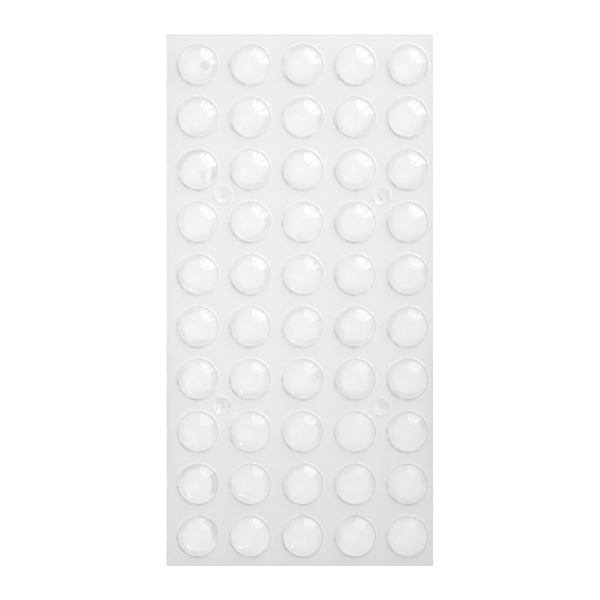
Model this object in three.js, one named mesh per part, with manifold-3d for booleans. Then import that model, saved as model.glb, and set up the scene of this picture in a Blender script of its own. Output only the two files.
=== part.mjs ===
// A sheet of clear domed bumpers for cabinet doors, kiss-cut and still on its release liner.
// Millimetres, +Z up. The long side lies along Y, row 1 is at the +Y end and column 1 at the -X
// side. The origin is the centre of the liner's underside.

import * as THREE from 'three';
import { mergeVertices } from 'three/addons/utils/BufferGeometryUtils.js';
import Module from 'manifold-3d';

const wasm = await Module();
wasm.setup();

// Bumper: a round pad with a flat back, a short shoulder and a domed top
const bumperDiameter = 9.525;
const shoulderHeight = 0.75;
const shoulderInset = 0.12;
const domeRise = 1.75;

// Web: the moulded sheet that is left between the bumpers, as thick as a bumper's edge
const webThickness = 0.5;
const bumperGap = 3.175;
const cutClearance = 0.3;

// Gate recess: a shallow dish with a thin lip, where the plastic entered the mould
const gateDiameter = 4.4;
const gateFloor = 0.2;
const lipWidth = 0.25;
const lipHeight = 0.1;

// Vestige: the stub that is left where a gate was torn off
const vestigeDiameter = 1.3;
const vestigeHeight = 0.12;

// Release liner: the film under the adhesive
const linerThickness = 0.12;

// Pattern, with margins from the outermost bumpers to the edges of the sheet
const columns = 5;
const rows = 10;
const leftMargin = 2.84;
const rightMargin = 1.49;
const topMargin = 2.64;
const bottomMargin = 2.34;

// Gates lie this many columns and rows in from each side, in the spaces between bumpers. Each is
// off the middle of its space by a little.
const gateColumnInset = 1;
const gateRowInset = 3;
const upperLeftShift = { x: -0.31, y: 0.24 };
const upperRightShift = { x: 0.09, y: -0.07 };
const lowerLeftShift = { x: -0.69, y: -0.1 };
const lowerRightShift = { x: -0.09, y: -0.39 };

// Facets
const circleSides = 20;
const domeRings = 3;
const dishRings = 3;
const vestigeRings = 2;

const bumperRadius = bumperDiameter / 2;
const domeRadius = bumperRadius - shoulderInset;
const holeRadius = bumperRadius + cutClearance;
const gateRadius = gateDiameter / 2;
const gateOuterRadius = gateRadius + lipWidth;
const lipCrestRadius = gateRadius + lipWidth / 2;
const vestigeRadius = vestigeDiameter / 2;
const pitch = bumperDiameter + bumperGap;
const sheetWidth = leftMargin + bumperDiameter + (columns - 1) * pitch + rightMargin;
const sheetLength = topMargin + bumperDiameter + (rows - 1) * pitch + bottomMargin;

// A column or row number can be a half, which is the space between two bumpers.
function columnX(column) {
    return -sheetWidth / 2 + leftMargin + bumperRadius + (column - 1) * pitch;
}

function rowY(row) {
    return sheetLength / 2 - topMargin - bumperRadius - (row - 1) * pitch;
}

// Four gates in a rectangle. The one at the lower right was cut flush and has no vestige.
function gatePlaces() {
    const left = columnX(gateColumnInset + 0.5);
    const right = columnX(columns - gateColumnInset + 0.5);
    const upper = rowY(gateRowInset + 0.5);
    const lower = rowY(rows - gateRowInset + 0.5);
    const gate = (x, y, shift, torn) => ({ x: x + shift.x, y: y + shift.y, torn });
    return [
        gate(left, upper, upperLeftShift, true),
        gate(right, upper, upperRightShift, true),
        gate(left, lower, lowerLeftShift, true),
        gate(right, lower, lowerRightShift, false),
    ];
}

// Points on a circular arc that falls from the crown, on the axis, to the foot of a cap.
function capArc(footRadius, footHeight, rise, rings) {
    const radius = (footRadius ** 2 + rise ** 2) / (2 * rise);
    const footAngle = Math.atan2(footRadius, radius - rise);
    const points = [];
    for (let i = 0; i <= rings; i++) {
        const angle = footAngle * (1 - i / rings);
        const height = footHeight + rise - radius * (1 - Math.cos(angle));
        points.push(new THREE.Vector2(i === rings ? 0 : radius * Math.sin(angle), height));
    }
    return points;
}

// A solid of revolution about +Z from a profile of radius and height that starts and ends on
// the axis and runs from the bottom to the top.
function turned(profile) {
    const geometry = new THREE.LatheGeometry(profile, circleSides);
    return geometry.rotateX(Math.PI / 2);
}

function bumperGeometry() {
    const profile = [
        new THREE.Vector2(0, 0),
        new THREE.Vector2(bumperRadius, 0),
        new THREE.Vector2(bumperRadius, webThickness),
        ...capArc(domeRadius, webThickness + shoulderHeight, domeRise, domeRings),
    ];
    return turned(profile);
}

// The floor of a dish rises from its centre with the square of the radius, up to the lip.
function gateGeometry(torn) {
    const crest = webThickness + lipHeight;
    const dishHeight = (radius) => gateFloor + (crest - gateFloor) * (radius / gateRadius) ** 2;
    const profile = [
        new THREE.Vector2(0, 0),
        new THREE.Vector2(gateOuterRadius, 0),
        new THREE.Vector2(gateOuterRadius, webThickness),
        new THREE.Vector2(lipCrestRadius, crest),
    ];
    const innerRadius = torn ? vestigeRadius : 0;
    for (let i = 0; i < dishRings; i++) {
        const radius = gateRadius + (innerRadius - gateRadius) * (i / dishRings);
        profile.push(new THREE.Vector2(radius, dishHeight(radius)));
    }
    if (torn) {
        const footHeight = dishHeight(vestigeRadius);
        profile.push(...capArc(vestigeRadius, footHeight, vestigeHeight, vestigeRings));
    } else {
        profile.push(new THREE.Vector2(0, gateFloor));
    }
    return turned(profile);
}

// A regular polygon, so that the circle has no second point where a full arc would end.
function circlePath(x, y, radius) {
    const points = [];
    for (let i = 0; i < circleSides; i++) {
        const angle = (2 * Math.PI * i) / circleSides;
        points.push(new THREE.Vector2(x + radius * Math.cos(angle), y + radius * Math.sin(angle)));
    }
    return new THREE.Path(points);
}

// The flat sheet, with a round hole for each bumper and for each gate dish.
function plateGeometry() {
    const outline = new THREE.Shape();
    outline.moveTo(-sheetWidth / 2, -sheetLength / 2);
    outline.lineTo(sheetWidth / 2, -sheetLength / 2);
    outline.lineTo(sheetWidth / 2, sheetLength / 2);
    outline.lineTo(-sheetWidth / 2, sheetLength / 2);
    outline.closePath();
    for (let row = 1; row <= rows; row++) {
        for (let column = 1; column <= columns; column++) {
            outline.holes.push(circlePath(columnX(column), rowY(row), holeRadius));
        }
    }
    for (const place of gatePlaces()) {
        outline.holes.push(circlePath(place.x, place.y, lipCrestRadius));
    }
    return new THREE.ExtrudeGeometry(outline, { depth: webThickness, bevelEnabled: false });
}

function toSolid(geometry) {
    const bare = geometry.clone();
    bare.deleteAttribute('normal');
    bare.deleteAttribute('uv');
    const merged = mergeVertices(bare);
    return new wasm.Manifold(new wasm.Mesh({
        numProp: 3,
        vertProperties: Float32Array.from(merged.attributes.position.array),
        triVerts: Uint32Array.from(merged.index.array),
    }));
}

function toGeometry(solid) {
    const mesh = solid.getMesh();
    const geometry = new THREE.BufferGeometry();
    geometry.setAttribute('position', new THREE.BufferAttribute(mesh.vertProperties, 3));
    geometry.setIndex(new THREE.BufferAttribute(mesh.triVerts, 1));
    geometry.computeVertexNormals();
    return geometry;
}

function webGeometry() {
    let solid = toSolid(plateGeometry());
    for (const place of gatePlaces()) {
        const dish = gateGeometry(place.torn).translate(place.x, place.y, 0);
        solid = solid.add(toSolid(dish));
    }
    return toGeometry(solid);
}

function clearPlastic() {
    return new THREE.MeshStandardMaterial({
        color: 0xeef0f0,
        roughness: 0.08,
        metalness: 0,
        transparent: true,
        opacity: 0.4,
    });
}

function linerFilm() {
    return new THREE.MeshStandardMaterial({ color: 0xf2f3f2, roughness: 0.5, metalness: 0 });
}

function namedMesh(name, geometry, material) {
    const mesh = new THREE.Mesh(geometry, material);
    mesh.name = name;
    return mesh;
}

function bumperName(row, column) {
    return `bumper_r${String(row).padStart(2, '0')}_c${column}`;
}

// The web and the bumpers lie side by side on the liner.
function moulding() {
    const group = new THREE.Group();
    group.add(namedMesh('moulded_web', webGeometry(), clearPlastic()));
    for (let row = 1; row <= rows; row++) {
        for (let column = 1; column <= columns; column++) {
            const bumper = namedMesh(bumperName(row, column), bumperGeometry(), clearPlastic());
            bumper.position.set(columnX(column), rowY(row), 0);
            group.add(bumper);
        }
    }
    return group;
}

function releaseLiner() {
    const film = new THREE.BoxGeometry(sheetWidth, sheetLength, linerThickness);
    return namedMesh('release_liner', film.translate(0, 0, linerThickness / 2), linerFilm());
}

const sheet = new THREE.Group();
sheet.add(releaseLiner());
const moulded = moulding();
moulded.position.z = linerThickness;
sheet.add(moulded);

export default sheet;
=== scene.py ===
"""A sheet of clear domed door bumpers on its release liner, seen from straight above.

All lengths are in metres, in the frame of the CAD model. The clear pieces stand in a film of
adhesive, so the liner's visible surface lies a hundredth of a millimetre inside them and no
air shows under them.
"""

import math

import bmesh
import bpy
import numpy as np
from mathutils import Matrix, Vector


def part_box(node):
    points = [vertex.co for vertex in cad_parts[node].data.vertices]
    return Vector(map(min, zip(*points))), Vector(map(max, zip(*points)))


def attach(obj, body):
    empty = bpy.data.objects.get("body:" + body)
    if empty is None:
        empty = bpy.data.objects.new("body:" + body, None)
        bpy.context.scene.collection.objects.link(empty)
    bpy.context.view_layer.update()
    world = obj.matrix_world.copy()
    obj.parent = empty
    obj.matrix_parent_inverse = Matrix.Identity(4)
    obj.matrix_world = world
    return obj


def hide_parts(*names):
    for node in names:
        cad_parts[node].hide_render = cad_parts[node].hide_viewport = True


MM = 0.001

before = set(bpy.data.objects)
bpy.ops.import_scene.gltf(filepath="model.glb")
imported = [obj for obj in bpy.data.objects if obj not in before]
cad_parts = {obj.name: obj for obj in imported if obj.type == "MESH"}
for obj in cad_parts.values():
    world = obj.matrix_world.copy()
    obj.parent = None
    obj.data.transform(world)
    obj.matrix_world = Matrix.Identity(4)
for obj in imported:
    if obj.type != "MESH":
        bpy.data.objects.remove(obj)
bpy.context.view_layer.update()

# Pattern of the sheet, as in the CAD model
ROWS = 10
COLUMNS = 5
GATE_COLUMN_INSET = 1
GATE_ROW_INSET = 3

# Bumper, beside the sizes that its CAD solid gives
SHOULDER_INSET = 0.12 * MM
SHOULDER_HEIGHT = 0.75 * MM
BASE_FILLET = 0.02 * MM
EDGE_FILLET = 0.06 * MM
SHOULDER_FILLET = 0.15 * MM
BUMPER_SIDES = 80
DOME_RINGS = 26
DOME_SHIFT = 0.06 * MM
DOME_OVAL = 0.012 * MM
DOME_LOBES = 0.007 * MM

# Bumpers whose domes came out of the mould with a dull or a satin skin, as row and column
DULL_DOMES = {(7, 4), (8, 4), (9, 4), (9, 5), (10, 5)}
SATIN_DOMES = {(1, 5), (5, 5), (6, 5), (7, 5), (10, 1)}

# Every rounded edge has FILLET_STEPS facets. A corner that turns by less than STRAIGHT_TURN, in
# radians, isn't rounded, and points nearer than WELD_DISTANCE are merged.
FILLET_STEPS = 4
STRAIGHT_TURN = 0.01
WELD_DISTANCE = 0.0001 * MM

# Web, with a raised lip that the cutting die left round each bumper, higher towards SUN_SIDE
WEB_THICKNESS = 0.5 * MM
CUT_CLEARANCE = 0.3 * MM
LIP_HEIGHT = 0.13 * MM
LIP_LEAN = 0.3
LIP_UNEVEN = 0.15
LIP_CREST = 0.06 * MM
LIP_FOOT = 0.4 * MM
LIP_REACH = 0.5 * MM
LIP_STEPS = 10
LIP_SEED = 7
SHEET_EDGE_FILLET = 0.06 * MM
SIDE_STEPS = 18
CORNER_STEPS = 24

# Gates, with what each is off the middle of its space, upper ones first. A cell's corner that is
# nearer than GATE_NEARNESS to the middle of such a space lies at a gate.
GATE_SHIFTS = ((-0.31 * MM, 0.24 * MM), (0.09 * MM, -0.07 * MM),
               (-0.69 * MM, -0.1 * MM), (-0.09 * MM, -0.39 * MM))
GATE_RADIUS = 2.2 * MM
GATE_FLOOR = 0.2 * MM
GATE_LIP_WIDTH = 0.25 * MM
GATE_LIP_HEIGHT = 0.1 * MM
GATE_LIP_FILLETS = (GATE_LIP_WIDTH * 0.4, GATE_LIP_WIDTH)
GATE_REACH = 3.3 * MM
GATE_RINGS = 30
GATE_NEARNESS = 0.1 * MM
SCAR_POINTS = 60

# Adhesive film on the liner, in which the backs of the clear pieces lie
ADHESIVE = 0.01 * MM

# The side from which most of the light comes, as an angle from +X
SUN_DEGREES = 48
SUN_SIDE = math.radians(SUN_DEGREES)

# The sheet's edges in the photograph, in its 600 by 600 frame
PHOTO_SIDE = 600
PHOTO_LEFT = 166.7
PHOTO_RIGHT = 432.95
PHOTO_TOP = 34.2
PHOTO_BOTTOM = 566.1

# Camera
CAMERA_HEIGHT = 0.55
SENSOR = 0.036

# Window: bays in an upright wall at BAY_WALL in X. Each goes from one Y to another, and has the
# heights of its bottom, of the joint between its two tiers and of its top. A bar shows only
# between the second and the third.
BAY_WALL = 0.165
BAYS = {
    "near": (0.079, 0.108, 0.0, 0.150, 0.228),
    "second": (0.108, 0.154, 0.02, 0.174, 0.296),
    "third": (0.174, 0.260, 0.035, 0.220, 0.444),
    "fourth": (0.260, 0.425, 0.06, 0.308, 0.543),
}

# A farther pane that faces the sheet, with its three heights, and how bright the lower and the
# upper tiers of all of them are
PANE_ANGLE = math.radians(76.75)
PANE_DISTANCE = 0.8
PANE_WIDTH = 0.165
PANE_HEIGHTS = (0.18, 0.648, 0.988)
LOWER_RADIANCE = 2.72
UPPER_RADIANCE = 1.6

# Soft lamp over the sheet, which gives LAMP_SHARE of full light straight below it, and the level
# of the even light from all round
LAMP_PLACE = (-0.024, -0.004, 0.18)
LAMP_SIZE = 0.1
LAMP_SHARE = 0.45
WORLD_LEVEL = 0.34

# A small lamp low down at the near left, which only shows as a glint in the nearer domes
SIDE_LAMP_PLACE = (-0.094, -0.139, 0.066)
SIDE_LAMP_AIM = (-0.021, -0.041, 0)
SIDE_LAMP_WIDTH = 0.038
SIDE_LAMP_HEIGHT = 0.01
SIDE_LAMP_RADIANCE = 0.23
SIDE_LAMP_SPREAD = math.radians(24)

# Floor: a grey paint, and the glow that makes it look white
FLOOR_SIZE = 6
FLOOR_PAINT = (0.3, 0.3, 0.3, 1)
FLOOR_GLOW = 0.84

# Clear plastics: the share of a lamp's ray that passes where it has to enter first, the share of
# light that goes through and not into the haze, the roughness, and the depth of the uneven skin,
# which is a noise with SKIN_SCALE cells to the metre
PLASTIC_IOR = 1.49
SKIN_SCALE = 500.0
SKIN_DETAIL = 1
PLASTICS = {
    "bumper_plastic": (0.72, 0.94, 0.02, 0.005 * MM),
    "satin_bumper_plastic": (0.72, 0.94, 0.14, 0.005 * MM),
    "dull_bumper_plastic": (0.72, 0.94, 0.3, 0.005 * MM),
    "web_plastic": (0.94, 0.88, 0.02, 0.006 * MM),
}


def bumper_node(row, column):
    return f"bumper_r{row:02d}_c{column}"


def bumper_centre(row, column):
    low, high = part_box(bumper_node(row, column))
    return (low + high) / 2


def make_mesh(name, points, faces, smooth=True):
    """An object at the origin from an array of points and a list of faces."""
    mesh = bpy.data.meshes.new(name)
    mesh.from_pydata(np.asarray(points).tolist(), [], faces)
    mesh.update()
    if smooth:
        mesh.shade_smooth()
    piece = bpy.data.objects.new(name, mesh)
    bpy.context.scene.collection.objects.link(piece)
    return piece


def rounded(corners, radii, steps):
    """A line through the corners in which each inner corner with a radius is an arc.

    The arc touches both legs at radius * tan(turn / 2) from the corner, and its points are
    spread evenly over the turn.
    """
    points = [np.array(corners[0], float)]
    for before, here, after, radius in zip(corners, corners[1:], corners[2:], radii):
        here = np.array(here, float)
        back = np.array(before, float) - here
        ahead = np.array(after, float) - here
        back /= np.linalg.norm(back)
        ahead /= np.linalg.norm(ahead)
        turn = math.pi - math.acos(np.clip(back @ ahead, -1, 1))
        if radius == 0 or turn < STRAIGHT_TURN:
            points.append(here)
            continue
        start = here + back * radius * math.tan(turn / 2)
        middle = (back + ahead) / np.linalg.norm(back + ahead)
        centre = here + middle * radius / math.cos(turn / 2)
        first = start - centre
        side = -back * radius
        for angle in np.linspace(0, turn, steps + 1):
            points.append(centre + first * math.cos(angle) + side * math.sin(angle))
    points.append(np.array(corners[-1], float))
    return np.array(points)


def strip_faces(rows, columns):
    """Quads between rings of points, as many as rows, each closed and with columns points."""
    k = np.arange(columns)
    after = (k + 1) % columns
    low = np.arange(rows - 1)[:, None] * columns
    high = low + columns
    return np.stack([low + k, low + after, high + after, high + k], axis=-1).reshape(-1, 4)


def fan_faces(columns, pole):
    """Triangles from a closed ring of points to a pole."""
    k = np.arange(columns)
    return np.stack([k, (k + 1) % columns, np.full(columns, pole)], axis=-1)


def cap_arc(foot_radius, foot_height, crown_height, rings):
    """Points of a circular arc from the foot to the crown, evenly spread in angle."""
    rise = crown_height - foot_height
    radius = (foot_radius ** 2 + rise ** 2) / (2 * rise)
    angle = np.linspace(math.atan2(foot_radius, radius - rise), 0, rings + 1)
    heights = crown_height - radius * (1 - np.cos(angle))
    return np.stack([radius * np.sin(angle), heights], axis=-1)


def bumper_profile(base_radius, bottom, web_top, crown):
    """Flat back, upright edge, steep shoulder and domed top, with each corner rounded.

    The shoulder's fillet takes the place of the dome's first two points.
    """
    dome_radius = base_radius - SHOULDER_INSET
    dome = cap_arc(dome_radius, web_top + SHOULDER_HEIGHT, crown, DOME_RINGS)
    corners = [(0, bottom), (base_radius, bottom), (base_radius, web_top), dome[0], dome[2]]
    edge = rounded(corners, [BASE_FILLET, EDGE_FILLET, SHOULDER_FILLET], FILLET_STEPS)
    return np.vstack([edge[:-1], dome[2:]])


def turned(name, profile, centre, sides, wobble):
    """A solid of revolution: ring i is a circle of radius profile[i, 0] at height profile[i, 1].

    The profile starts and ends on the axis, where a single point closes the surface. wobble
    is a function of radius, height and angle that gives what is added to x, y and z.
    """
    angles = np.arange(sides) * 2 * math.pi / sides
    radius = np.repeat(profile[1:-1, 0:1], sides, axis=1)
    height = np.repeat(profile[1:-1, 1:2], sides, axis=1)
    x = centre[0] + radius * np.cos(angles)
    y = centre[1] + radius * np.sin(angles)
    grid = np.stack([x, y, height], axis=-1)
    grid += wobble(radius, height, angles[None, :])
    crown = wobble(np.zeros((1, 1)), np.full((1, 1), profile[-1, 1]), np.zeros((1, 1)))[0, 0]
    back_pole = [centre[0], centre[1], profile[0, 1]]
    crown_pole = np.array([centre[0], centre[1], profile[-1, 1]]) + crown
    rings = len(profile) - 2
    points = np.vstack([grid.reshape(-1, 3), back_pole, crown_pole])
    last = (rings - 1) * sides
    faces = strip_faces(rings, sides).tolist()
    faces += fan_faces(sides, rings * sides)[:, [1, 0, 2]].tolist()
    faces += (fan_faces(sides, rings * sides + 1 - last) + last).tolist()
    return make_mesh(name, points, faces)


def build_bumper(row, column, material):
    """One bumper. Its dome sits a few hundredths of a millimetre off its base, as moulded."""
    low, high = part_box(bumper_node(row, column))
    web_top = low.z + WEB_THICKNESS
    profile = bumper_profile((high.x - low.x) / 2, low.z, web_top, high.z)
    random = np.random.default_rng(100 * row + column)
    shift = random.uniform(-DOME_SHIFT, DOME_SHIFT, 2)
    phase = random.uniform(0, 2 * math.pi, 2)

    def wobble(radius, height, angle):
        """The dome leans by shift, and is very slightly oval and three-sided."""
        share = np.clip((height - web_top) / (high.z - web_top), 0, 1)
        lobes = DOME_OVAL * np.cos(2 * angle + phase[0]) + DOME_LOBES * np.cos(3 * angle + phase[1])
        lift = lobes * np.sin(np.pi * share) * (radius / (high.x - low.x) * 2)
        return np.stack([share * shift[0] + 0 * angle, share * shift[1] + 0 * angle, lift], axis=-1)

    piece = turned(f"dome_r{row:02d}_c{column}", profile, (low + high) / 2, BUMPER_SIDES, wobble)
    piece.data.materials.append(material)
    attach(piece, "root")
    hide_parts(bumper_node(row, column))


class Sheet:
    """Where the bumpers, gates and edges of the sheet lie, read from the CAD boxes."""

    def __init__(self):
        self.low, self.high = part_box("moulded_web")
        self.bottom = self.low.z
        self.top = self.low.z + WEB_THICKNESS
        self.xs = [bumper_centre(1, column).x for column in range(1, COLUMNS + 1)]
        self.ys = [bumper_centre(row, 1).y for row in range(1, ROWS + 1)]
        one_low, one_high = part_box(bumper_node(1, 1))
        self.base_radius = (one_high.x - one_low.x) / 2
        self.hole_radius = self.base_radius + CUT_CLEARANCE
        self.x_lines = self.lines(self.xs, self.low.x, self.high.x)
        self.y_lines = self.lines(self.ys, self.high.y, self.low.y)
        gate_columns = (GATE_COLUMN_INSET, COLUMNS - GATE_COLUMN_INSET)
        gate_rows = (GATE_ROW_INSET, ROWS - GATE_ROW_INSET)
        self.gates = [(self.x_lines[c], self.y_lines[r]) for r in gate_rows for c in gate_columns]

    @staticmethod
    def lines(places, first, last):
        """The lines between cells: the sheet's edges and the middles between bumpers."""
        middles = [(a + b) / 2 for a, b in zip(places, places[1:])]
        return [first, *middles, last]

    def is_gate(self, x, y):
        """Whether a cell's corner lies at a gate."""
        return any(max(abs(x - gx), abs(y - gy)) < GATE_NEARNESS for gx, gy in self.gates)

    def drawn_in(self, points, inset):
        """Points moved inwards, so that none is nearer than inset to the sheet's edge."""
        x = np.clip(points[..., 0], self.low.x + inset, self.high.x - inset)
        y = np.clip(points[..., 1], self.low.y + inset, self.high.y - inset)
        return np.stack([x, y], axis=-1)


def at_height(points, z):
    """Points of the plane, all at one height."""
    return np.concatenate([points, np.full((*points.shape[:-1], 1), z)], axis=-1)


def cell_outline(sheet, left, right, lower, upper):
    """Points round one cell, anticlockwise. A corner at a gate gives way to the gate's circle."""
    corners = [(left, lower), (right, lower), (right, upper), (left, upper)]
    points = []
    for i, here in enumerate(corners):
        after = corners[(i + 1) % 4]
        here, after = np.array(here), np.array(after)
        along = (after - here) / np.linalg.norm(after - here)
        start = here + along * GATE_REACH * sheet.is_gate(*here)
        end = after - along * GATE_REACH * sheet.is_gate(*after)
        t = np.arange(SIDE_STEPS)[:, None] / SIDE_STEPS
        points.append(start + (end - start) * t)
        if sheet.is_gate(*after):
            turn = np.linspace(0, math.pi / 2, CORNER_STEPS, endpoint=False)[:, None]
            inward = np.array([-along[1], along[0]])
            points.append(after - along * GATE_REACH * np.cos(turn)
                          + inward * GATE_REACH * np.sin(turn))
    return np.vstack(points)


def lip_path():
    """For each ring of the lip, its distance outside the hole, share of the lip's height and drop.

    A quarter-round edge leads up to the crest, and the fall to the flat is half a cosine wave.
    """
    turn = np.linspace(0, math.pi / 2, FILLET_STEPS + 1)
    edge = np.stack([LIP_CREST * (1 - np.cos(turn)), np.ones_like(turn),
                     LIP_CREST * (1 - np.sin(turn))], axis=-1)
    share = np.linspace(0, 1, LIP_STEPS + 1)[1:]
    fall = np.stack([LIP_CREST + (LIP_FOOT - LIP_CREST) * share, (1 + np.cos(np.pi * share)) / 2,
                     np.zeros_like(share)], axis=-1)
    return np.vstack([edge, fall, [(LIP_REACH, 0, 0)]])


def cell_surface(sheet, centre, outline, phase):
    """Rings from the foot of the hole's wall over the lip to the cell's outline, and back below.

    The rings of the lip are circles about the bumper. The lip's height follows one cosine wave
    towards SUN_SIDE and a weaker double one with the given phase. Two more rings go evenly from
    the last circle to the outline, and one joins the outline to the hole along the bottom.
    """
    offset = outline - centre
    direction = offset / np.linalg.norm(offset, axis=1, keepdims=True)
    angle = np.arctan2(offset[:, 1], offset[:, 0])
    waves = LIP_LEAN * np.cos(angle - SUN_SIDE) + LIP_UNEVEN * np.cos(2 * angle + phase)
    height = LIP_HEIGHT * (1 + waves)
    distance, share, drop = lip_path().T
    circles = centre + (sheet.hole_radius + distance)[:, None, None] * direction
    z = sheet.top + share[:, None] * height - drop[:, None]
    lip = np.concatenate([circles, z[..., None]], axis=-1)
    foot = at_height(circles[:1], sheet.bottom)
    inset = sheet.drawn_in(outline, SHEET_EDGE_FILLET)
    flat = at_height(np.stack([(circles[-1] + inset) / 2, inset]), sheet.top)
    under = at_height(outline[None], sheet.bottom)
    return np.concatenate([under, foot, lip, flat])


def edge_surface(sheet):
    """The sheet's outer edge all round: a quarter-round at the top, then straight down."""
    stops = [(x, sheet.low.y) for x in sheet.x_lines[:-1]]
    stops += [(sheet.high.x, y) for y in sheet.y_lines[:0:-1]]
    stops += [(x, sheet.high.y) for x in sheet.x_lines[:0:-1]]
    stops += [(sheet.low.x, y) for y in sheet.y_lines[:-1]]
    stops = np.array(stops)[:, None]
    t = np.arange(SIDE_STEPS)[:, None] / SIDE_STEPS
    points = (stops + (np.roll(stops, -1, axis=0) - stops) * t).reshape(-1, 2)
    rows = []
    for turn in np.linspace(0, math.pi / 2, FILLET_STEPS + 1):
        ring = sheet.drawn_in(points, SHEET_EDGE_FILLET * (1 - math.sin(turn)))
        rows.append(at_height(ring, sheet.top - SHEET_EDGE_FILLET * (1 - math.cos(turn))))
    rows.append(at_height(points, sheet.bottom))
    return np.stack(rows)


def ridge(x, y, path, width, height):
    """A ridge along a path, whose height falls as exp(-(distance / width) ** 2).

    path is a function that turns a parameter from -1 to 1 into x and y.
    """
    along, across = path(np.linspace(-1, 1, SCAR_POINTS))
    gap = np.hypot(np.subtract.outer(x, along), np.subtract.outer(y, across)).min(axis=-1)
    return height * np.exp(-(gap / width) ** 2)


def scar_shapes():
    """What was left in each gate: an S-shaped smear, a torn wedge, a curl, and nothing."""

    def hook(x, y):
        def path(t):
            """A line that climbs to the right, bent by one sine wave."""
            return MM * (0.38 + 0.8 * t - 0.3 * np.sin(np.pi * t)), MM * (0.7 * t - 0.1)

        return ridge(x, y, path, width=0.13 * MM, height=0.17 * MM)

    def wedge(x, y):
        def path(t):
            """A straight line that falls steeply to the right."""
            return MM * (-0.38 + 0.5 * t), MM * (-0.3 - 0.85 * t)

        return ridge(x, y, path, width=0.2 * MM, height=0.09 * MM)

    def curl(x, y):
        def path(t):
            """A spiral of a little over one turn, whose radius grows evenly."""
            turn = 3.3 * t + 3.6
            reach = MM * (0.5 + 0.32 * t)
            return reach * np.cos(turn), 0.35 * MM + reach * np.sin(turn)

        return ridge(x, y, path, width=0.1 * MM, height=0.06 * MM)

    def clean(x, y):
        return 0 * x * y

    return [hook, wedge, curl, clean]


def gate_surface(sheet, centre, shift, scar):
    """A shallow dish: its floor rises with the square of the radius to a thin round lip.

    scar is a function of x and y that gives what the torn gate adds to the floor. The rings
    run from the middle of the dish to the circle round the gate's space. They are shifted in
    full up to the lip, and not at all at that circle.
    """
    crest = sheet.top + GATE_LIP_HEIGHT
    floor = sheet.bottom + GATE_FLOOR
    radius = np.linspace(0, 1, GATE_RINGS)[1:] * GATE_RADIUS
    dish = np.stack([radius, floor + (crest - floor) * (radius / GATE_RADIUS) ** 2], axis=-1)
    lip_foot = (GATE_RADIUS + GATE_LIP_WIDTH, sheet.top)
    corners = [dish[-2], dish[-1], lip_foot, (GATE_REACH, sheet.top)]
    rim = rounded(corners, GATE_LIP_FILLETS, FILLET_STEPS)
    profile = np.vstack([dish[:-2], rim])
    angle = np.arange(4 * CORNER_STEPS) * math.pi / 2 / CORNER_STEPS
    x = np.outer(profile[:, 0], np.cos(angle))
    y = np.outer(profile[:, 0], np.sin(angle))
    z = profile[:, 1:2] + scar(x, y)
    held = np.where(profile[:, 0] < GATE_REACH, 1.0, 0.0)[:, None]
    top = np.stack([centre[0] + shift[0] * held + x, centre[1] + shift[1] * held + y, z], axis=-1)
    under = top[-1] * [1, 1, 0] + [0, 0, sheet.bottom]
    crater = floor + float(scar(np.zeros(1), np.zeros(1))[0])
    middle = [centre[0] + shift[0], centre[1] + shift[1], crater]
    return top, under, middle


def build_web(sheet, material):
    """The moulded sheet between the bumpers, as one closed skin of cells, gates and edge."""
    skins = [edge_surface(sheet)]
    fans = []
    random = np.random.default_rng(LIP_SEED)
    for j, y in enumerate(sheet.ys):
        for i, x in enumerate(sheet.xs):
            outline = cell_outline(sheet, sheet.x_lines[i], sheet.x_lines[i + 1],
                                   sheet.y_lines[j + 1], sheet.y_lines[j])
            phase = random.uniform(0, 2 * math.pi)
            skins.append(cell_surface(sheet, np.array([x, y]), outline, phase))
    for centre, shift, scar in zip(sheet.gates, GATE_SHIFTS, scar_shapes()):
        top, under, middle = gate_surface(sheet, centre, shift, scar)
        skins.append(top)
        fans.append((top[0], middle))
        fans.append((under, [centre[0], centre[1], sheet.bottom]))
    points, faces, count = [], [], 0
    for skin in skins:
        rows, columns = skin.shape[:2]
        points.append(skin.reshape(-1, 3))
        faces += (strip_faces(rows, columns) + count).tolist()
        count += rows * columns
    for ring, pole in fans:
        points.append(np.vstack([ring, pole]))
        faces += (fan_faces(len(ring), len(ring)) + count).tolist()
        count += len(ring) + 1
    piece = make_mesh("web_skin", np.vstack(points), faces)
    weld(piece)
    piece.data.materials.append(material)
    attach(piece, "root")
    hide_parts("moulded_web")


def weld(piece):
    """Merges points that lie together and turns all faces outwards."""
    skin = bmesh.new()
    skin.from_mesh(piece.data)
    bmesh.ops.remove_doubles(skin, verts=skin.verts, dist=WELD_DISTANCE)
    bmesh.ops.recalc_face_normals(skin, faces=skin.faces)
    skin.to_mesh(piece.data)
    skin.free()


def build_liner(material):
    """The release liner as a plain box, whose top lies in the film of adhesive."""
    low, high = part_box("release_liner")
    heights = (low.z, high.z + ADHESIVE)
    points = [(x, y, z) for z in heights for y in (low.y, high.y) for x in (low.x, high.x)]
    faces = [(0, 2, 3, 1), (4, 5, 7, 6), (0, 1, 5, 4), (1, 3, 7, 5), (3, 2, 6, 7), (2, 0, 4, 6)]
    piece = make_mesh("liner_sheet", points, faces, smooth=False)
    piece.data.materials.append(material)
    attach(piece, "root")
    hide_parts("release_liner")


def node(tree, kind, **settings):
    """A new node with its properties set by name."""
    made = tree.nodes.new("ShaderNode" + kind)
    for name, value in settings.items():
        setattr(made, name, value)
    return made


def feed(tree, socket, value):
    """Links an output socket to an input, or gives the input a plain value."""
    if isinstance(value, bpy.types.NodeSocket):
        tree.links.new(value, socket)
    else:
        socket.default_value = value


def calc(tree, operation, *values):
    """The output of a Math node."""
    made = node(tree, "Math", operation=operation)
    for socket, value in zip(made.inputs, values):
        feed(tree, socket, value)
    return made.outputs[0]


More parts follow.
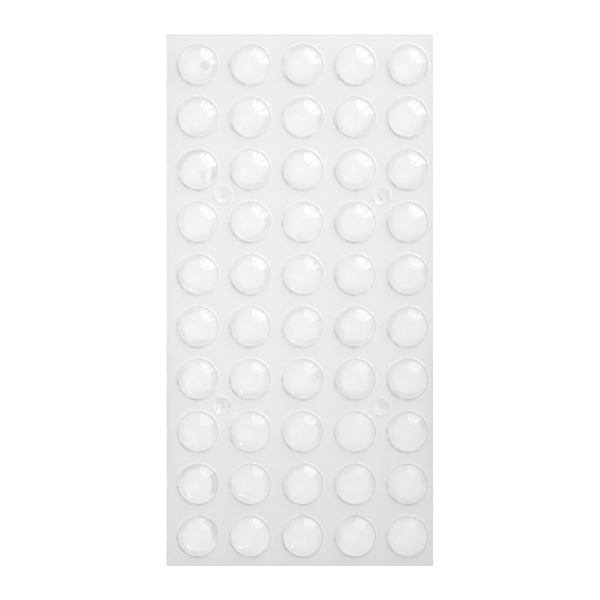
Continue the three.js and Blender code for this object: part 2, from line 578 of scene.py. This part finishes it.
def vector(tree, operation, *values):
    """The output of a Vector Math node: a number for a length or a dot product."""
    made = node(tree, "VectorMath", operation=operation)
    for socket, value in zip(made.inputs, values):
        feed(tree, socket, value)
    return made.outputs["Value" if operation in ("LENGTH", "DOT_PRODUCT") else "Vector"]


def ramp(tree, value, start, end, low=0.0, high=1.0):
    """A smooth step of a value from start to end, given as low to high."""
    made = node(tree, "MapRange", interpolation_type="SMOOTHSTEP")
    for name, entry in (("Value", value), ("From Min", start), ("From Max", end),
                        ("To Min", low), ("To Max", high)):
        feed(tree, made.inputs[name], entry)
    return made.outputs[0]


def towards(degrees):
    """A unit vector in the sheet's plane, by its angle from +X."""
    return (math.cos(math.radians(degrees)), math.sin(math.radians(degrees)), 0)


def arc_group():
    """A mask that is 1 in part of a ring about the origin of Place.

    It reaches from Inner to Outer with soft edges, and fades out where the cosine of the
    angle to Towards falls from Full to Gone.
    """
    tree = bpy.data.node_groups.new("ring_arc", "ShaderNodeTree")
    sockets = (("Place", "Vector", (0, 0, 0)), ("Towards", "Vector", (1, 0, 0)),
               ("Full", "Float", 1.0), ("Gone", "Float", 0.0),
               ("Inner", "Float", 0.0), ("Outer", "Float", 1.0), ("Soft", "Float", 0.1))
    for name, kind, value in sockets:
        made = tree.interface.new_socket(name, in_out="INPUT", socket_type="NodeSocket" + kind)
        made.default_value = value
    tree.interface.new_socket("Mask", in_out="OUTPUT", socket_type="NodeSocketFloat")
    given = tree.nodes.new("NodeGroupInput")
    radius = vector(tree, "LENGTH", given.outputs["Place"])
    soft = given.outputs["Soft"]
    inner, outer = given.outputs["Inner"], given.outputs["Outer"]
    beyond = []
    for edge in (inner, outer):
        start, end = calc(tree, "SUBTRACT", edge, soft), calc(tree, "ADD", edge, soft)
        beyond.append(ramp(tree, radius, start, end))
    ring = calc(tree, "SUBTRACT", *beyond)
    facing = vector(tree, "DOT_PRODUCT", vector(tree, "NORMALIZE", given.outputs["Place"]),
                    given.outputs["Towards"])
    share = ramp(tree, facing, given.outputs["Gone"], given.outputs["Full"])
    result = tree.nodes.new("NodeGroupOutput")
    tree.links.new(calc(tree, "MULTIPLY", ring, share), result.inputs["Mask"])
    return tree


def new_material(name):
    """A material, its node tree and its shader."""
    material = bpy.data.materials.new(name)
    material.use_nodes = True
    return material, material.node_tree, material.node_tree.nodes["Principled BSDF"]


def moulded_surface_group():
    """A normal for a slightly uneven skin: a noise of the given Scale, Depth metres high."""
    tree = bpy.data.node_groups.new("moulded_surface", "ShaderNodeTree")
    for name, value in (("Scale", SKIN_SCALE), ("Depth", 0.0)):
        made = tree.interface.new_socket(name, in_out="INPUT", socket_type="NodeSocketFloat")
        made.default_value = value
    tree.interface.new_socket("Normal", in_out="OUTPUT", socket_type="NodeSocketVector")
    given = tree.nodes.new("NodeGroupInput")
    noise = node(tree, "TexNoise")
    feed(tree, noise.inputs["Vector"], node(tree, "TexCoord").outputs["Object"])
    feed(tree, noise.inputs["Scale"], given.outputs["Scale"])
    noise.inputs["Detail"].default_value = SKIN_DETAIL
    bump = node(tree, "Bump")
    feed(tree, bump.inputs["Distance"], given.outputs["Depth"])
    feed(tree, bump.inputs["Height"], noise.outputs["Fac"])
    result = tree.nodes.new("NodeGroupOutput")
    tree.links.new(bump.outputs["Normal"], result.inputs["Normal"])
    return tree


def clear_plastic(name, skin, entering, clearness, roughness, depth):
    """Clear polyurethane with a trace of haze and a slightly uneven skin of the given depth.

    A ray of light that only leaves the plastic passes, so what lies under it is lit. One that
    has to enter it from the side first is bent away in the real thing, and here the share
    named entering passes.
    """
    material, tree, shader = new_material(name)
    shader.inputs["Base Color"].default_value = (1, 1, 1, 1)
    shader.inputs["Roughness"].default_value = roughness
    shader.inputs["IOR"].default_value = PLASTIC_IOR
    shader.inputs["Transmission Weight"].default_value = clearness
    uneven = node(tree, "Group", node_tree=skin)
    uneven.inputs["Depth"].default_value = depth
    feed(tree, shader.inputs["Normal"], uneven.outputs["Normal"])
    path = node(tree, "LightPath")
    lamp_ray = calc(tree, "MAXIMUM", path.outputs["Is Shadow Ray"], path.outputs["Is Diffuse Ray"])
    leaving = node(tree, "NewGeometry").outputs["Backfacing"]
    passing = node(tree, "BsdfTransparent")
    share = node(tree, "MapRange")
    feed(tree, share.inputs["Value"], leaving)
    feed(tree, share.inputs["To Min"], entering)
    feed(tree, passing.inputs["Color"], share.outputs[0])
    mix = node(tree, "MixShader")
    feed(tree, mix.inputs[0], lamp_ray)
    feed(tree, mix.inputs[1], shader.outputs[0])
    feed(tree, mix.inputs[2], passing.outputs[0])
    feed(tree, tree.nodes["Material Output"].inputs["Surface"], mix.outputs[0])
    return material


def dome_plastic(row, column):
    """The name of the plastic of a bumper."""
    if (row, column) in DULL_DOMES:
        return "dull_bumper_plastic"
    if (row, column) in SATIN_DOMES:
        return "satin_bumper_plastic"
    return "bumper_plastic"


# Release liner. The white is the film's own, and each tone below is what a mark adds to it as a
# share. Many of the marks are painted light and shade under and round the clear pieces.
LINER_WHITE = 0.88
LINER_ROUGHNESS = 0.12

# Clouds and grain in the film, as noise cells to the metre, and the tone of the clouds. A noise
# also breaks up a mark: as it rises from the first of four values to the second, the mark's
# strength rises from the third to the fourth.
CLOUD_SCALE = 130
CLOUD_DETAIL = 3
GRAIN_SCALE = 420
MOTTLE = 0.02
SCORE_GRAIN = (0.35, 0.62, 0.2, 1.5)
MARGIN_CLOUDS = (0.38, 0.62, 0.2, 1.9)

# Stretches of the sheet, as the Y at which a tone sets in and the Y at which it is whole
LOWER_ROWS = (5 * MM, -25 * MM)
LAST_ROWS = (-32 * MM, -58 * MM)
DARK_EDGE_ROWS_START = (-8 * MM, -17 * MM)
DARK_EDGE_ROWS_END = (-46 * MM, -32 * MM)
ROW_FADE = 0.1 * MM

# Arcs round every bumper: angle of the middle and half of the angle spanned in degrees, then how
# far the inner and outer edges lie outside the hole and how soft they are in millimetres. All are
# painted light and shade: painted shade along the scored line on the side away from the light,
# and in the lower rows on the near side too; a painted highlight on the rim of the cut, more so in
# the lower rows; two painted lit runs inside the cut; and a painted highlight line inside the
# dome's far margin.
FAR_SCORE_SHADE = (SUN_DEGREES + 180, 66, -0.35, 0.12, 0.07)
FAR_SCORE_SHADE_TONE = -0.15
NEAR_SCORE_SHADE = (62, 84, -0.52, -0.18, 0.06)
NEAR_SCORE_SHADE_TONE = -0.11
RIM_HIGHLIGHT = (58, 98, 0.04, 0.36, 0.06)
RIM_HIGHLIGHT_TONE = 0.09
RIM_HIGHLIGHT_TONE_LOWER_ROWS = 0.04
LIT_RUNS = [(150, 60, -0.3, 0.1, 0.08), (-52, 66, -0.9625, -0.14, 0.12)]
LIT_RUN_TONE = 0.06
FAR_HIGHLIGHT_LINE = (265, 60, -1.0825, -0.8625, 0.07)
FAR_HIGHLIGHT_LINE_TONE = 0.05

# Painted light under every dome: the film is painted lighter, more so in the lower and the last
# rows
DOME_PAINTED_LIGHT = 0.04
DOME_PAINTED_LIGHT_LOWER_ROWS = 0.02
DOME_PAINTED_LIGHT_LAST_ROWS = 0.055
DOME_SOFT = 0.1 * MM

# Painted shade: a darker, patchy margin under the dome's rim, and a darker foot of the domes of
# rows six and seven
MARGIN_INNER = 3.2 * MM
MARGIN_OUTER = 4.5 * MM
MARGIN_SOFT = 0.35 * MM
MARGIN_SHADE_TONE = -0.06
FOOT_EDGE = (-2.35 * MM, -2.75 * MM)
FOOT_SHADE_TONE = -0.045

# A painted pool of light left of and below the dome's middle, which drifts and has a ragged edge
POOL_PLACE = (-0.93 * MM, -0.77 * MM, 0)
POOL_EDGE = (1.55 * MM, 0.95 * MM)
POOL_DRIFT = 1.6 * MM
POOL_RAGGED = 3.4 * MM
POOL_LIGHT_TONE = 0.032

# The sheet is darker along its sides and its foot, most so beside rows seven and eight, and a
# thin dark line follows its upper edge.
EDGE_TONE = -0.07
EDGE_TONE_DARK_EDGE_ROWS = -0.07
EDGE_FADE = 1.9 * MM
TOP_LINE_EDGE = (0.55 * MM, 0.3 * MM)
TOP_LINE_TONE = -0.06

# Single marks under some bumpers, the light ones painted glints: row and column, angle of the
# middle in degrees, half of the angle it spans, inner and outer radius in millimetres, what it adds
CRESCENTS = [
    (1, 5, -22, 14, 4.4, 5.2, -0.12),
    (3, 1, 128, 62, 3.3, 4.6, -0.13),
    (3, 1, 92, 25, 3.9, 4.7, -0.09),
    (9, 1, 2, 36, 3.0, 4.9, -0.15),
    (9, 1, 120, 34, 3.7, 4.7, -0.12),
    # A painted glint at the lower left of this dome
    (9, 1, 236, 14, 3.4, 3.9, 0.08),
    (10, 1, 32, 40, 3.2, 4.6, -0.13),
    (10, 1, 135, 36, 3.7, 4.7, -0.1),
    # A painted glint at the lower left of this dome
    (10, 1, 230, 14, 2.9, 3.5, 0.08),
]
# Softness of the painted glints and of the dark crescents
PAINTED_GLINT_SOFT = 0.08 * MM
DARK_CRESCENT_SOFT = 0.12 * MM

# Single spots under bumpers: row and column, then place and slant of the middle, half length and
# half width in millimetres and degrees, and what it adds
BUMPER_SPOTS = [
    (7, 1, 1.55, -1.15, -30, 0.75, 0.12, -0.09),
    (7, 3, 2.75, 0.35, 75, 1.1, 0.7, -0.06),
    (7, 3, 2.6, 0.9, 30, 0.35, 0.12, -0.08),
    (7, 3, 3.0, 0.2, 100, 0.3, 0.12, -0.1),
    (7, 3, 2.6, -0.4, 60, 0.3, 0.12, -0.08),
    (8, 5, 3.05, 1.9, 15, 0.5, 0.12, -0.1),
    (8, 5, 3.3, 1.4, 40, 0.4, 0.12, -0.08),
    (10, 4, 0.9, 2.9, -60, 0.55, 0.14, -0.1),
    (9, 1, 2.9, 1.9, 70, 0.5, 0.15, -0.1),
    (9, 1, 3.4, -1.6, 110, 0.5, 0.2, -0.08),
]

# The same for the gates' scars and their painted light and shade, by the number of the gate
GATE_SCARS_LIGHT_AND_SHADE = [
    (0, -0.6, -0.75, 20, 0.4, 0.14, -0.08),
    (0, 0.2, -0.42, 15, 0.5, 0.14, -0.12),
    (0, 0.45, -0.1, 80, 0.35, 0.12, -0.1),
    (0, 0.85, 0.2, 10, 0.45, 0.13, 0.09),
    (0, -0.65, -1.35, 100, 0.5, 0.3, 0.09),
    (1, -0.42, -0.2, -58, 1.1, 0.34, -0.2),
    (1, -0.1, -0.75, 80, 0.6, 0.28, -0.14),
    (1, 0.08, 0.05, -38, 0.85, 0.11, 0.1),
    (1, 1.5, 0.1, 90, 1.2, 0.5, -0.07),
    (1, -0.7, -1.6, 0, 0.9, 0.2, 0.1),
    (2, -0.85, 1.05, 10, 0.5, 0.2, -0.16),
    (2, 0.05, 0.75, 15, 0.7, 0.16, -0.2),
    (2, 0.45, 0.0, 110, 0.45, 0.2, -0.18),
    (2, 0.2, -0.55, 30, 0.5, 0.16, -0.16),
    (2, 0.1, 0.35, 5, 0.5, 0.1, 0.06),
    (2, 2.15, 0.0, 95, 0.9, 0.14, -0.18),
    (2, -0.3, 1.7, 0, 1.3, 0.3, -0.1),
    (2, -0.75, -1.55, 60, 0.75, 0.4, 0.15),
    (3, 0.5, 1.1, -30, 1.6, 0.8, -0.02),
    (3, -1.4, -1.35, -30, 0.35, 0.25, 0.08),
    (3, -0.2, -1.75, 0, 0.45, 0.2, 0.06),
]

# Painted light and shade in and round every gate, as for the crescents, with the softness before
# what it adds: the shaded and lit sides of the dish, the shaded foot and the lit far side of its
# lip
GATE_LIGHT_AND_SHADE_ARCS = [
    (45, 80, 0.2, 2.15, 0.15, -0.07),
    (225, 80, 0.4, 2.1, 0.2, 0.05),
    (250, 85, 2.1, 2.32, 0.06, -0.12),
    (50, 80, 2.25, 2.6, 0.08, 0.06),
]

# A blister in the adhesive and flats of trapped air: row, column, place of the middle and half
# sizes in millimetres, how far a flat tapers downwards, and what it adds
BLISTER = (1, 1, 1.62, -0.08, 1.03, -0.14)
BLISTER_SOFT = 0.06
AIR_PATCHES = [(3, 1, 3.9, -0.8, 0.85, 1.45, 0.0, -0.13), (3, 1, 1.1, -1.7, 0.85, 1.45, 1.0, -0.08),
               (3, 1, 2.25, -1.6, 0.35, 1.3, 0.3, 0.06)]
AIR_EDGE = (1.12, 0.92)

# Where the edge of a spot starts and ends, as a squared share of its half sizes, and where an
# arc is whole and where it is gone, as a share of half of its angle. Half of the angle of a whole
# ring is WHOLE_RING, and the cosine where it would be gone is below any other.
SPOT_EDGE = (1.4, 0.5)
ARC_FULL = 0.45
ARC_GONE = 1.25
WHOLE_RING = 400
NEVER_GONE = -1.5


class Tones:
    """Collects marks on the liner and gives the product of (1 + amount * mask) over them all."""

    def __init__(self, tree, group):
        self.tree = tree
        self.group = group
        self.tone = None
        self.place = node(tree, "TexCoord").outputs["Object"]
        self.flat = vector(tree, "MULTIPLY", self.place, (1, 1, 0))
        parts = node(tree, "SeparateXYZ")
        feed(tree, parts.inputs[0], self.place)
        self.x = parts.outputs["X"]
        self.y = parts.outputs["Y"]

    def about(self, x, y):
        """The place in the sheet's plane, measured from x and y."""
        return vector(self.tree, "SUBTRACT", self.flat, (x, y, 0))

    def noise(self, scale):
        """A noise with that many cells to the metre."""
        made = node(self.tree, "TexNoise")
        feed(self.tree, made.inputs["Vector"], self.place)
        made.inputs["Scale"].default_value = scale
        return made

    def drift(self, noise, reach, place):
        """A place moved by a noise: by reach times what its colour is above the middle."""
        offset = vector(self.tree, "SUBTRACT", noise.outputs["Color"], (0.5, 0.5, 0.5))
        return vector(self.tree, "MULTIPLY_ADD", offset, (reach, reach, 0), place)

    def both(self, first, second):
        """Where two masks meet."""
        return calc(self.tree, "MULTIPLY", first, second)

    def arc(self, place, degrees, half, inner, outer, soft):
        """A part of a ring about the origin of place, half the angle to either side."""
        made = node(self.tree, "Group", node_tree=self.group)
        full = math.cos(math.radians(half * ARC_FULL))
        spread = half * ARC_GONE
        gone = math.cos(math.radians(spread)) if spread < 180 else NEVER_GONE
        values = (("Place", place), ("Towards", towards(degrees)), ("Full", full),
                  ("Gone", gone), ("Inner", inner), ("Outer", outer), ("Soft", soft))
        for name, value in values:
            feed(self.tree, made.inputs[name], value)
        return made.outputs["Mask"]

    def spot(self, place, x, y, degrees, half_length, half_width):
        """A soft-edged ellipse at x and y in millimetres, whose long axis lies at an angle."""
        own = vector(self.tree, "SUBTRACT", place, (x * MM, y * MM, 0))
        along = vector(self.tree, "DOT_PRODUCT", own, towards(degrees))
        across = vector(self.tree, "DOT_PRODUCT", own, towards(degrees + 90))
        along = calc(self.tree, "MULTIPLY", along, 1 / half_length / MM)
        across = calc(self.tree, "MULTIPLY", across, 1 / half_width / MM)
        squares = calc(self.tree, "ADD", calc(self.tree, "POWER", along, 2.0),
                       calc(self.tree, "POWER", across, 2.0))
        return ramp(self.tree, squares, *SPOT_EDGE)

    def add(self, mask, amount):
        """Multiplies the tone by 1 + amount * mask."""
        factor = calc(self.tree, "MULTIPLY_ADD", mask, amount, 1.0)
        self.tone = factor if self.tone is None else calc(self.tree, "MULTIPLY", self.tone, factor)


def cut_tones(tones, hole, local, grain, lower_rows):
    """Painted shade along the scored line, a painted highlight on the rim, and painted lit runs and
    a highlight line, round every bumper.
    """

    def ring(degrees, half, inner, outer, soft):
        return tones.arc(local, degrees, half, hole + inner * MM, hole + outer * MM, soft * MM)

    uneven = ramp(tones.tree, grain.outputs["Fac"], *SCORE_GRAIN)
    tones.add(tones.both(ring(*FAR_SCORE_SHADE), uneven), FAR_SCORE_SHADE_TONE)
    tones.add(tones.both(ring(*NEAR_SCORE_SHADE), lower_rows), NEAR_SCORE_SHADE_TONE)
    # A painted highlight on the rim of the cut
    rim = ring(*RIM_HIGHLIGHT)
    tones.add(rim, RIM_HIGHLIGHT_TONE)
    tones.add(tones.both(rim, lower_rows), RIM_HIGHLIGHT_TONE_LOWER_ROWS)
    # Painted light in two runs inside the cut
    for run in LIT_RUNS:
        tones.add(ring(*run), LIT_RUN_TONE)
    # A painted highlight line inside the dome's far margin
    tones.add(ring(*FAR_HIGHLIGHT_LINE), FAR_HIGHLIGHT_LINE_TONE)


def dome_tones(tones, sheet, dome, local, cloud, grain, lower_rows):
    """Painted light and shade under every dome: the lighter film, the shaded margin and foot, and
    the pool of light.
    """
    tree = tones.tree
    tones.add(dome, DOME_PAINTED_LIGHT)
    tones.add(tones.both(dome, lower_rows), DOME_PAINTED_LIGHT_LOWER_ROWS)
    tones.add(tones.both(dome, ramp(tree, tones.y, *LAST_ROWS)), DOME_PAINTED_LIGHT_LAST_ROWS)
    # Painted shade in a patchy margin under the dome's rim
    margin = tones.arc(local, 0, WHOLE_RING, MARGIN_INNER, MARGIN_OUTER, MARGIN_SOFT)
    patchy = ramp(tree, cloud.outputs["Fac"], *MARGIN_CLOUDS)
    tones.add(tones.both(margin, patchy), MARGIN_SHADE_TONE)

    adrift = tones.drift(cloud, POOL_DRIFT, local)
    parts = node(tree, "SeparateXYZ")
    feed(tree, parts.inputs[0], adrift)
    # Painted shade at the foot of the domes of rows six and seven
    below = tones.both(ramp(tree, parts.outputs["Y"], *FOOT_EDGE), dome)
    above_six, above_eight = sheet.y_lines[5], sheet.y_lines[7]
    from_six = ramp(tree, tones.y, above_six + ROW_FADE, above_six - ROW_FADE)
    from_eight = ramp(tree, tones.y, above_eight + ROW_FADE, above_eight - ROW_FADE)
    tones.add(tones.both(below, calc(tree, "SUBTRACT", from_six, from_eight)), FOOT_SHADE_TONE)

    # The painted pool of light
    ragged = tones.drift(grain, POOL_RAGGED, adrift)
    from_pool = vector(tree, "LENGTH", vector(tree, "SUBTRACT", ragged, POOL_PLACE))
    tones.add(ramp(tree, from_pool, *POOL_EDGE), POOL_LIGHT_TONE)


def single_tones(tones, dome):
    """The marks under single bumpers, of which the light crescents are painted glints. A flat of
    air ends at its dome.
    """
    tree = tones.tree
    for row, column, degrees, half_angle, inner, outer, amount in CRESCENTS:
        centre = bumper_centre(row, column)
        soft = PAINTED_GLINT_SOFT if amount > 0 else DARK_CRESCENT_SOFT
        own = tones.about(centre.x, centre.y)
        tones.add(tones.arc(own, degrees, half_angle, inner * MM, outer * MM, soft), amount)
    row, column, x, y, reach, amount = BLISTER
    centre = bumper_centre(row, column)
    away = vector(tree, "LENGTH", tones.about(centre.x + x * MM, centre.y + y * MM))
    tones.add(ramp(tree, away, (reach + BLISTER_SOFT) * MM, (reach - BLISTER_SOFT) * MM), amount)
    for row, column, x, y, half_width, half_height, taper, amount in AIR_PATCHES:
        centre = bumper_centre(row, column)
        own = tones.about(centre.x + x * MM, centre.y + y * MM)
        parts = node(tree, "SeparateXYZ")
        scale = (1 / half_width / MM, 1 / half_height / MM, 0)
        feed(tree, parts.inputs[0], vector(tree, "MULTIPLY", own, scale))
        up = parts.outputs["Y"]
        narrowed = calc(tree, "MULTIPLY_ADD", calc(tree, "SUBTRACT", 1.0, up), taper / 2,
                        calc(tree, "ABSOLUTE", parts.outputs["X"]))
        outside = calc(tree, "MAXIMUM", narrowed, calc(tree, "ABSOLUTE", up))
        tones.add(tones.both(ramp(tree, outside, *AIR_EDGE), dome), amount)
    for row, column, *spot, amount in BUMPER_SPOTS:
        centre = bumper_centre(row, column)
        tones.add(tones.spot(tones.about(centre.x, centre.y), *spot), amount)


def gate_tones(tones, sheet):
    """What is seen in the gates: the scars of each, drawn partly as painted light and shade, and
    the painted light and shade of the dish.
    """
    for number, ((x, y), (right, up)) in enumerate(zip(sheet.gates, GATE_SHIFTS)):
        own = tones.about(x + right, y + up)
        for gate, *spot, amount in GATE_SCARS_LIGHT_AND_SHADE:
            if gate == number:
                tones.add(tones.spot(own, *spot), amount)
        for degrees, half, inner, outer, soft, amount in GATE_LIGHT_AND_SHADE_ARCS:
            tones.add(tones.arc(own, degrees, half, inner * MM, outer * MM, soft * MM), amount)


def edge_tones(tones, sheet):
    """Darker margins that fade as exp(-distance / EDGE_FADE), and the line along the top."""
    tree = tones.tree
    from_left = calc(tree, "SUBTRACT", tones.x, sheet.low.x)
    from_right = calc(tree, "SUBTRACT", sheet.high.x, tones.x)
    from_below = calc(tree, "SUBTRACT", tones.y, sheet.low.y)
    nearest = calc(tree, "MINIMUM", calc(tree, "MINIMUM", from_left, from_right), from_below)
    fade = calc(tree, "EXPONENT", calc(tree, "MULTIPLY", nearest, -1 / EDGE_FADE))
    tones.add(fade, EDGE_TONE)
    dark_edge_rows = tones.both(ramp(tree, tones.y, *DARK_EDGE_ROWS_START), ramp(tree, tones.y, *DARK_EDGE_ROWS_END))
    tones.add(tones.both(fade, dark_edge_rows), EDGE_TONE_DARK_EDGE_ROWS)
    from_above = calc(tree, "SUBTRACT", sheet.high.y, tones.y)
    tones.add(ramp(tree, from_above, *TOP_LINE_EDGE), TOP_LINE_TONE)


def liner_film(sheet):
    """Glossy white film with the marks of the die, the adhesive and the gates, and with painted
    light and shade round and under the bumpers and in the gates.

    local is the place as measured from the nearest bumper, for it wraps at half a pitch.
    """
    material, tree, shader = new_material("liner_film")
    shader.inputs["Roughness"].default_value = LINER_ROUGHNESS
    tones = Tones(tree, arc_group())
    cloud = tones.noise(CLOUD_SCALE)
    cloud.inputs["Detail"].default_value = CLOUD_DETAIL
    grain = tones.noise(GRAIN_SCALE)
    first = bumper_centre(1, 1)
    half = (bumper_centre(1, 2).x - first.x) / 2
    local = vector(tree, "WRAP", tones.about(first.x, first.y), (half, half, 1), (-half, -half, -1))
    away = vector(tree, "LENGTH", local)
    dome = ramp(tree, away, sheet.base_radius + DOME_SOFT, sheet.base_radius - DOME_SOFT)
    lower_rows = ramp(tree, tones.y, *LOWER_ROWS)
    cut_tones(tones, sheet.hole_radius, local, grain, lower_rows)
    dome_tones(tones, sheet, dome, local, cloud, grain, lower_rows)
    tones.add(calc(tree, "SUBTRACT", cloud.outputs["Fac"], 0.5), MOTTLE)
    single_tones(tones, dome)
    gate_tones(tones, sheet)
    edge_tones(tones, sheet)
    feed(tree, shader.inputs["Base Color"], calc(tree, "MULTIPLY", tones.tone, LINER_WHITE))
    return material


def build_camera():
    """Straight above, so that the sheet's edges lie in the picture as in the photograph."""
    low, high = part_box("moulded_web")
    scale = (PHOTO_BOTTOM - PHOTO_TOP) / (high.y - low.y)
    right = (PHOTO_SIDE / 2 - (PHOTO_LEFT + PHOTO_RIGHT) / 2) / scale
    up = ((PHOTO_TOP + PHOTO_BOTTOM) / 2 - PHOTO_SIDE / 2) / scale
    data = bpy.data.cameras.new("camera")
    data.sensor_width = SENSOR / MM
    data.lens = SENSOR / MM * CAMERA_HEIGHT / (PHOTO_SIDE / scale)
    camera = bpy.data.objects.new("camera", data)
    camera.location = (right, up, low.z + WEB_THICKNESS + CAMERA_HEIGHT)
    bpy.context.scene.collection.objects.link(camera)
    bpy.context.scene.camera = camera


def seen_ray(tree):
    """1 for rays of the camera, and for those that a gloss or a clear piece sends on."""
    path = node(tree, "LightPath")
    direct = calc(tree, "MAXIMUM", path.outputs["Is Camera Ray"], path.outputs["Is Glossy Ray"])
    return calc(tree, "MAXIMUM", direct, path.outputs["Is Transmission Ray"])


def build_floor():
    """A matt floor with a glow that only seen rays meet, so it is white and keeps the shadow."""
    bpy.ops.mesh.primitive_plane_add(size=FLOOR_SIZE)
    floor = bpy.context.object
    floor.name = "floor"
    material = bpy.data.materials.new("floor")
    material.use_nodes = True
    tree = material.node_tree
    tree.nodes.clear()
    matt = node(tree, "BsdfDiffuse")
    matt.inputs["Color"].default_value = FLOOR_PAINT
    glow = node(tree, "Emission")
    feed(tree, glow.inputs["Strength"], calc(tree, "MULTIPLY", seen_ray(tree), FLOOR_GLOW))
    add = node(tree, "AddShader")
    feed(tree, add.inputs[0], matt.outputs[0])
    feed(tree, add.inputs[1], glow.outputs[0])
    feed(tree, node(tree, "OutputMaterial").inputs["Surface"], add.outputs[0])
    floor.data.materials.append(material)


def build_world():
    """Even light at WORLD_LEVEL, which looks white where it is seen."""
    world = bpy.data.worlds.new("room")
    bpy.context.scene.world = world
    world.use_nodes = True
    tree = world.node_tree
    pick = node(tree, "MapRange")
    feed(tree, pick.inputs["Value"], seen_ray(tree))
    feed(tree, pick.inputs["To Min"], WORLD_LEVEL)
    feed(tree, tree.nodes["Background"].inputs["Strength"], pick.outputs[0])
    tree.nodes["Background"].inputs["Color"].default_value = (1, 1, 1, 1)


def area_lamp(name, width, height, radiance):
    """A flat lamp, hidden from the camera. Its energy is radiance times pi times area."""
    data = bpy.data.lights.new(name, "AREA")
    data.shape = "RECTANGLE"
    data.size = width
    data.size_y = height
    data.energy = radiance * math.pi * width * height
    lamp = bpy.data.objects.new(name, data)
    lamp.visible_camera = False
    bpy.context.scene.collection.objects.link(lamp)
    return lamp


def upright_pane(name, middle, outwards, width, heights):
    """Two area lamps, one over the other, that face against the direction outwards."""
    low, joint, high = heights
    tiers = (("lower", low, joint, LOWER_RADIANCE), ("upper", joint, high, UPPER_RADIANCE))
    for tier, bottom, top, radiance in tiers:
        lamp = area_lamp(f"{name}_{tier}", width, top - bottom, radiance)
        lamp.location = (middle.x, middle.y, (bottom + top) / 2)
        lamp.rotation_mode = "QUATERNION"
        lamp.rotation_quaternion = outwards.to_track_quat("Z", "Y")


def build_window():
    """The bays at the right of the sheet, and the farther pane behind them."""
    for name, (start, end, *heights) in BAYS.items():
        middle = Vector((BAY_WALL, (start + end) / 2, 0))
        upright_pane(name, middle, Vector((1, 0, 0)), end - start, heights)
    outwards = Vector((math.cos(PANE_ANGLE), math.sin(PANE_ANGLE), 0))
    upright_pane("far", outwards * PANE_DISTANCE, outwards, PANE_WIDTH, PANE_HEIGHTS)


def build_overhead():
    """Its radiance is LAMP_SHARE times pi over its solid angle from straight below."""
    radiance = LAMP_SHARE * math.pi * LAMP_PLACE[2] ** 2 / LAMP_SIZE ** 2
    lamp = area_lamp("overhead", LAMP_SIZE, LAMP_SIZE, radiance)
    lamp.location = LAMP_PLACE
    lamp.visible_glossy = False
    lamp.visible_transmission = False


def build_side_lamp():
    """A lamp that shows only as a reflection."""
    lamp = area_lamp("side", SIDE_LAMP_WIDTH, SIDE_LAMP_HEIGHT, SIDE_LAMP_RADIANCE)
    lamp.data.spread = SIDE_LAMP_SPREAD
    lamp.location = SIDE_LAMP_PLACE
    outwards = Vector(SIDE_LAMP_PLACE) - Vector(SIDE_LAMP_AIM)
    lamp.rotation_mode = "QUATERNION"
    lamp.rotation_quaternion = outwards.to_track_quat("Z", "Y")
    lamp.visible_diffuse = False
    lamp.visible_transmission = False


sheet = Sheet()
skin = moulded_surface_group()
plastics = {name: clear_plastic(name, skin, *values) for name, values in PLASTICS.items()}
build_liner(liner_film(sheet))
for row in range(1, ROWS + 1):
    for column in range(1, COLUMNS + 1):
        build_bumper(row, column, plastics[dome_plastic(row, column)])
build_web(sheet, plastics["web_plastic"])
build_camera()
build_floor()
build_world()
build_window()
build_overhead()
build_side_lamp()
bpy.context.scene.view_settings.view_transform = "Standard"
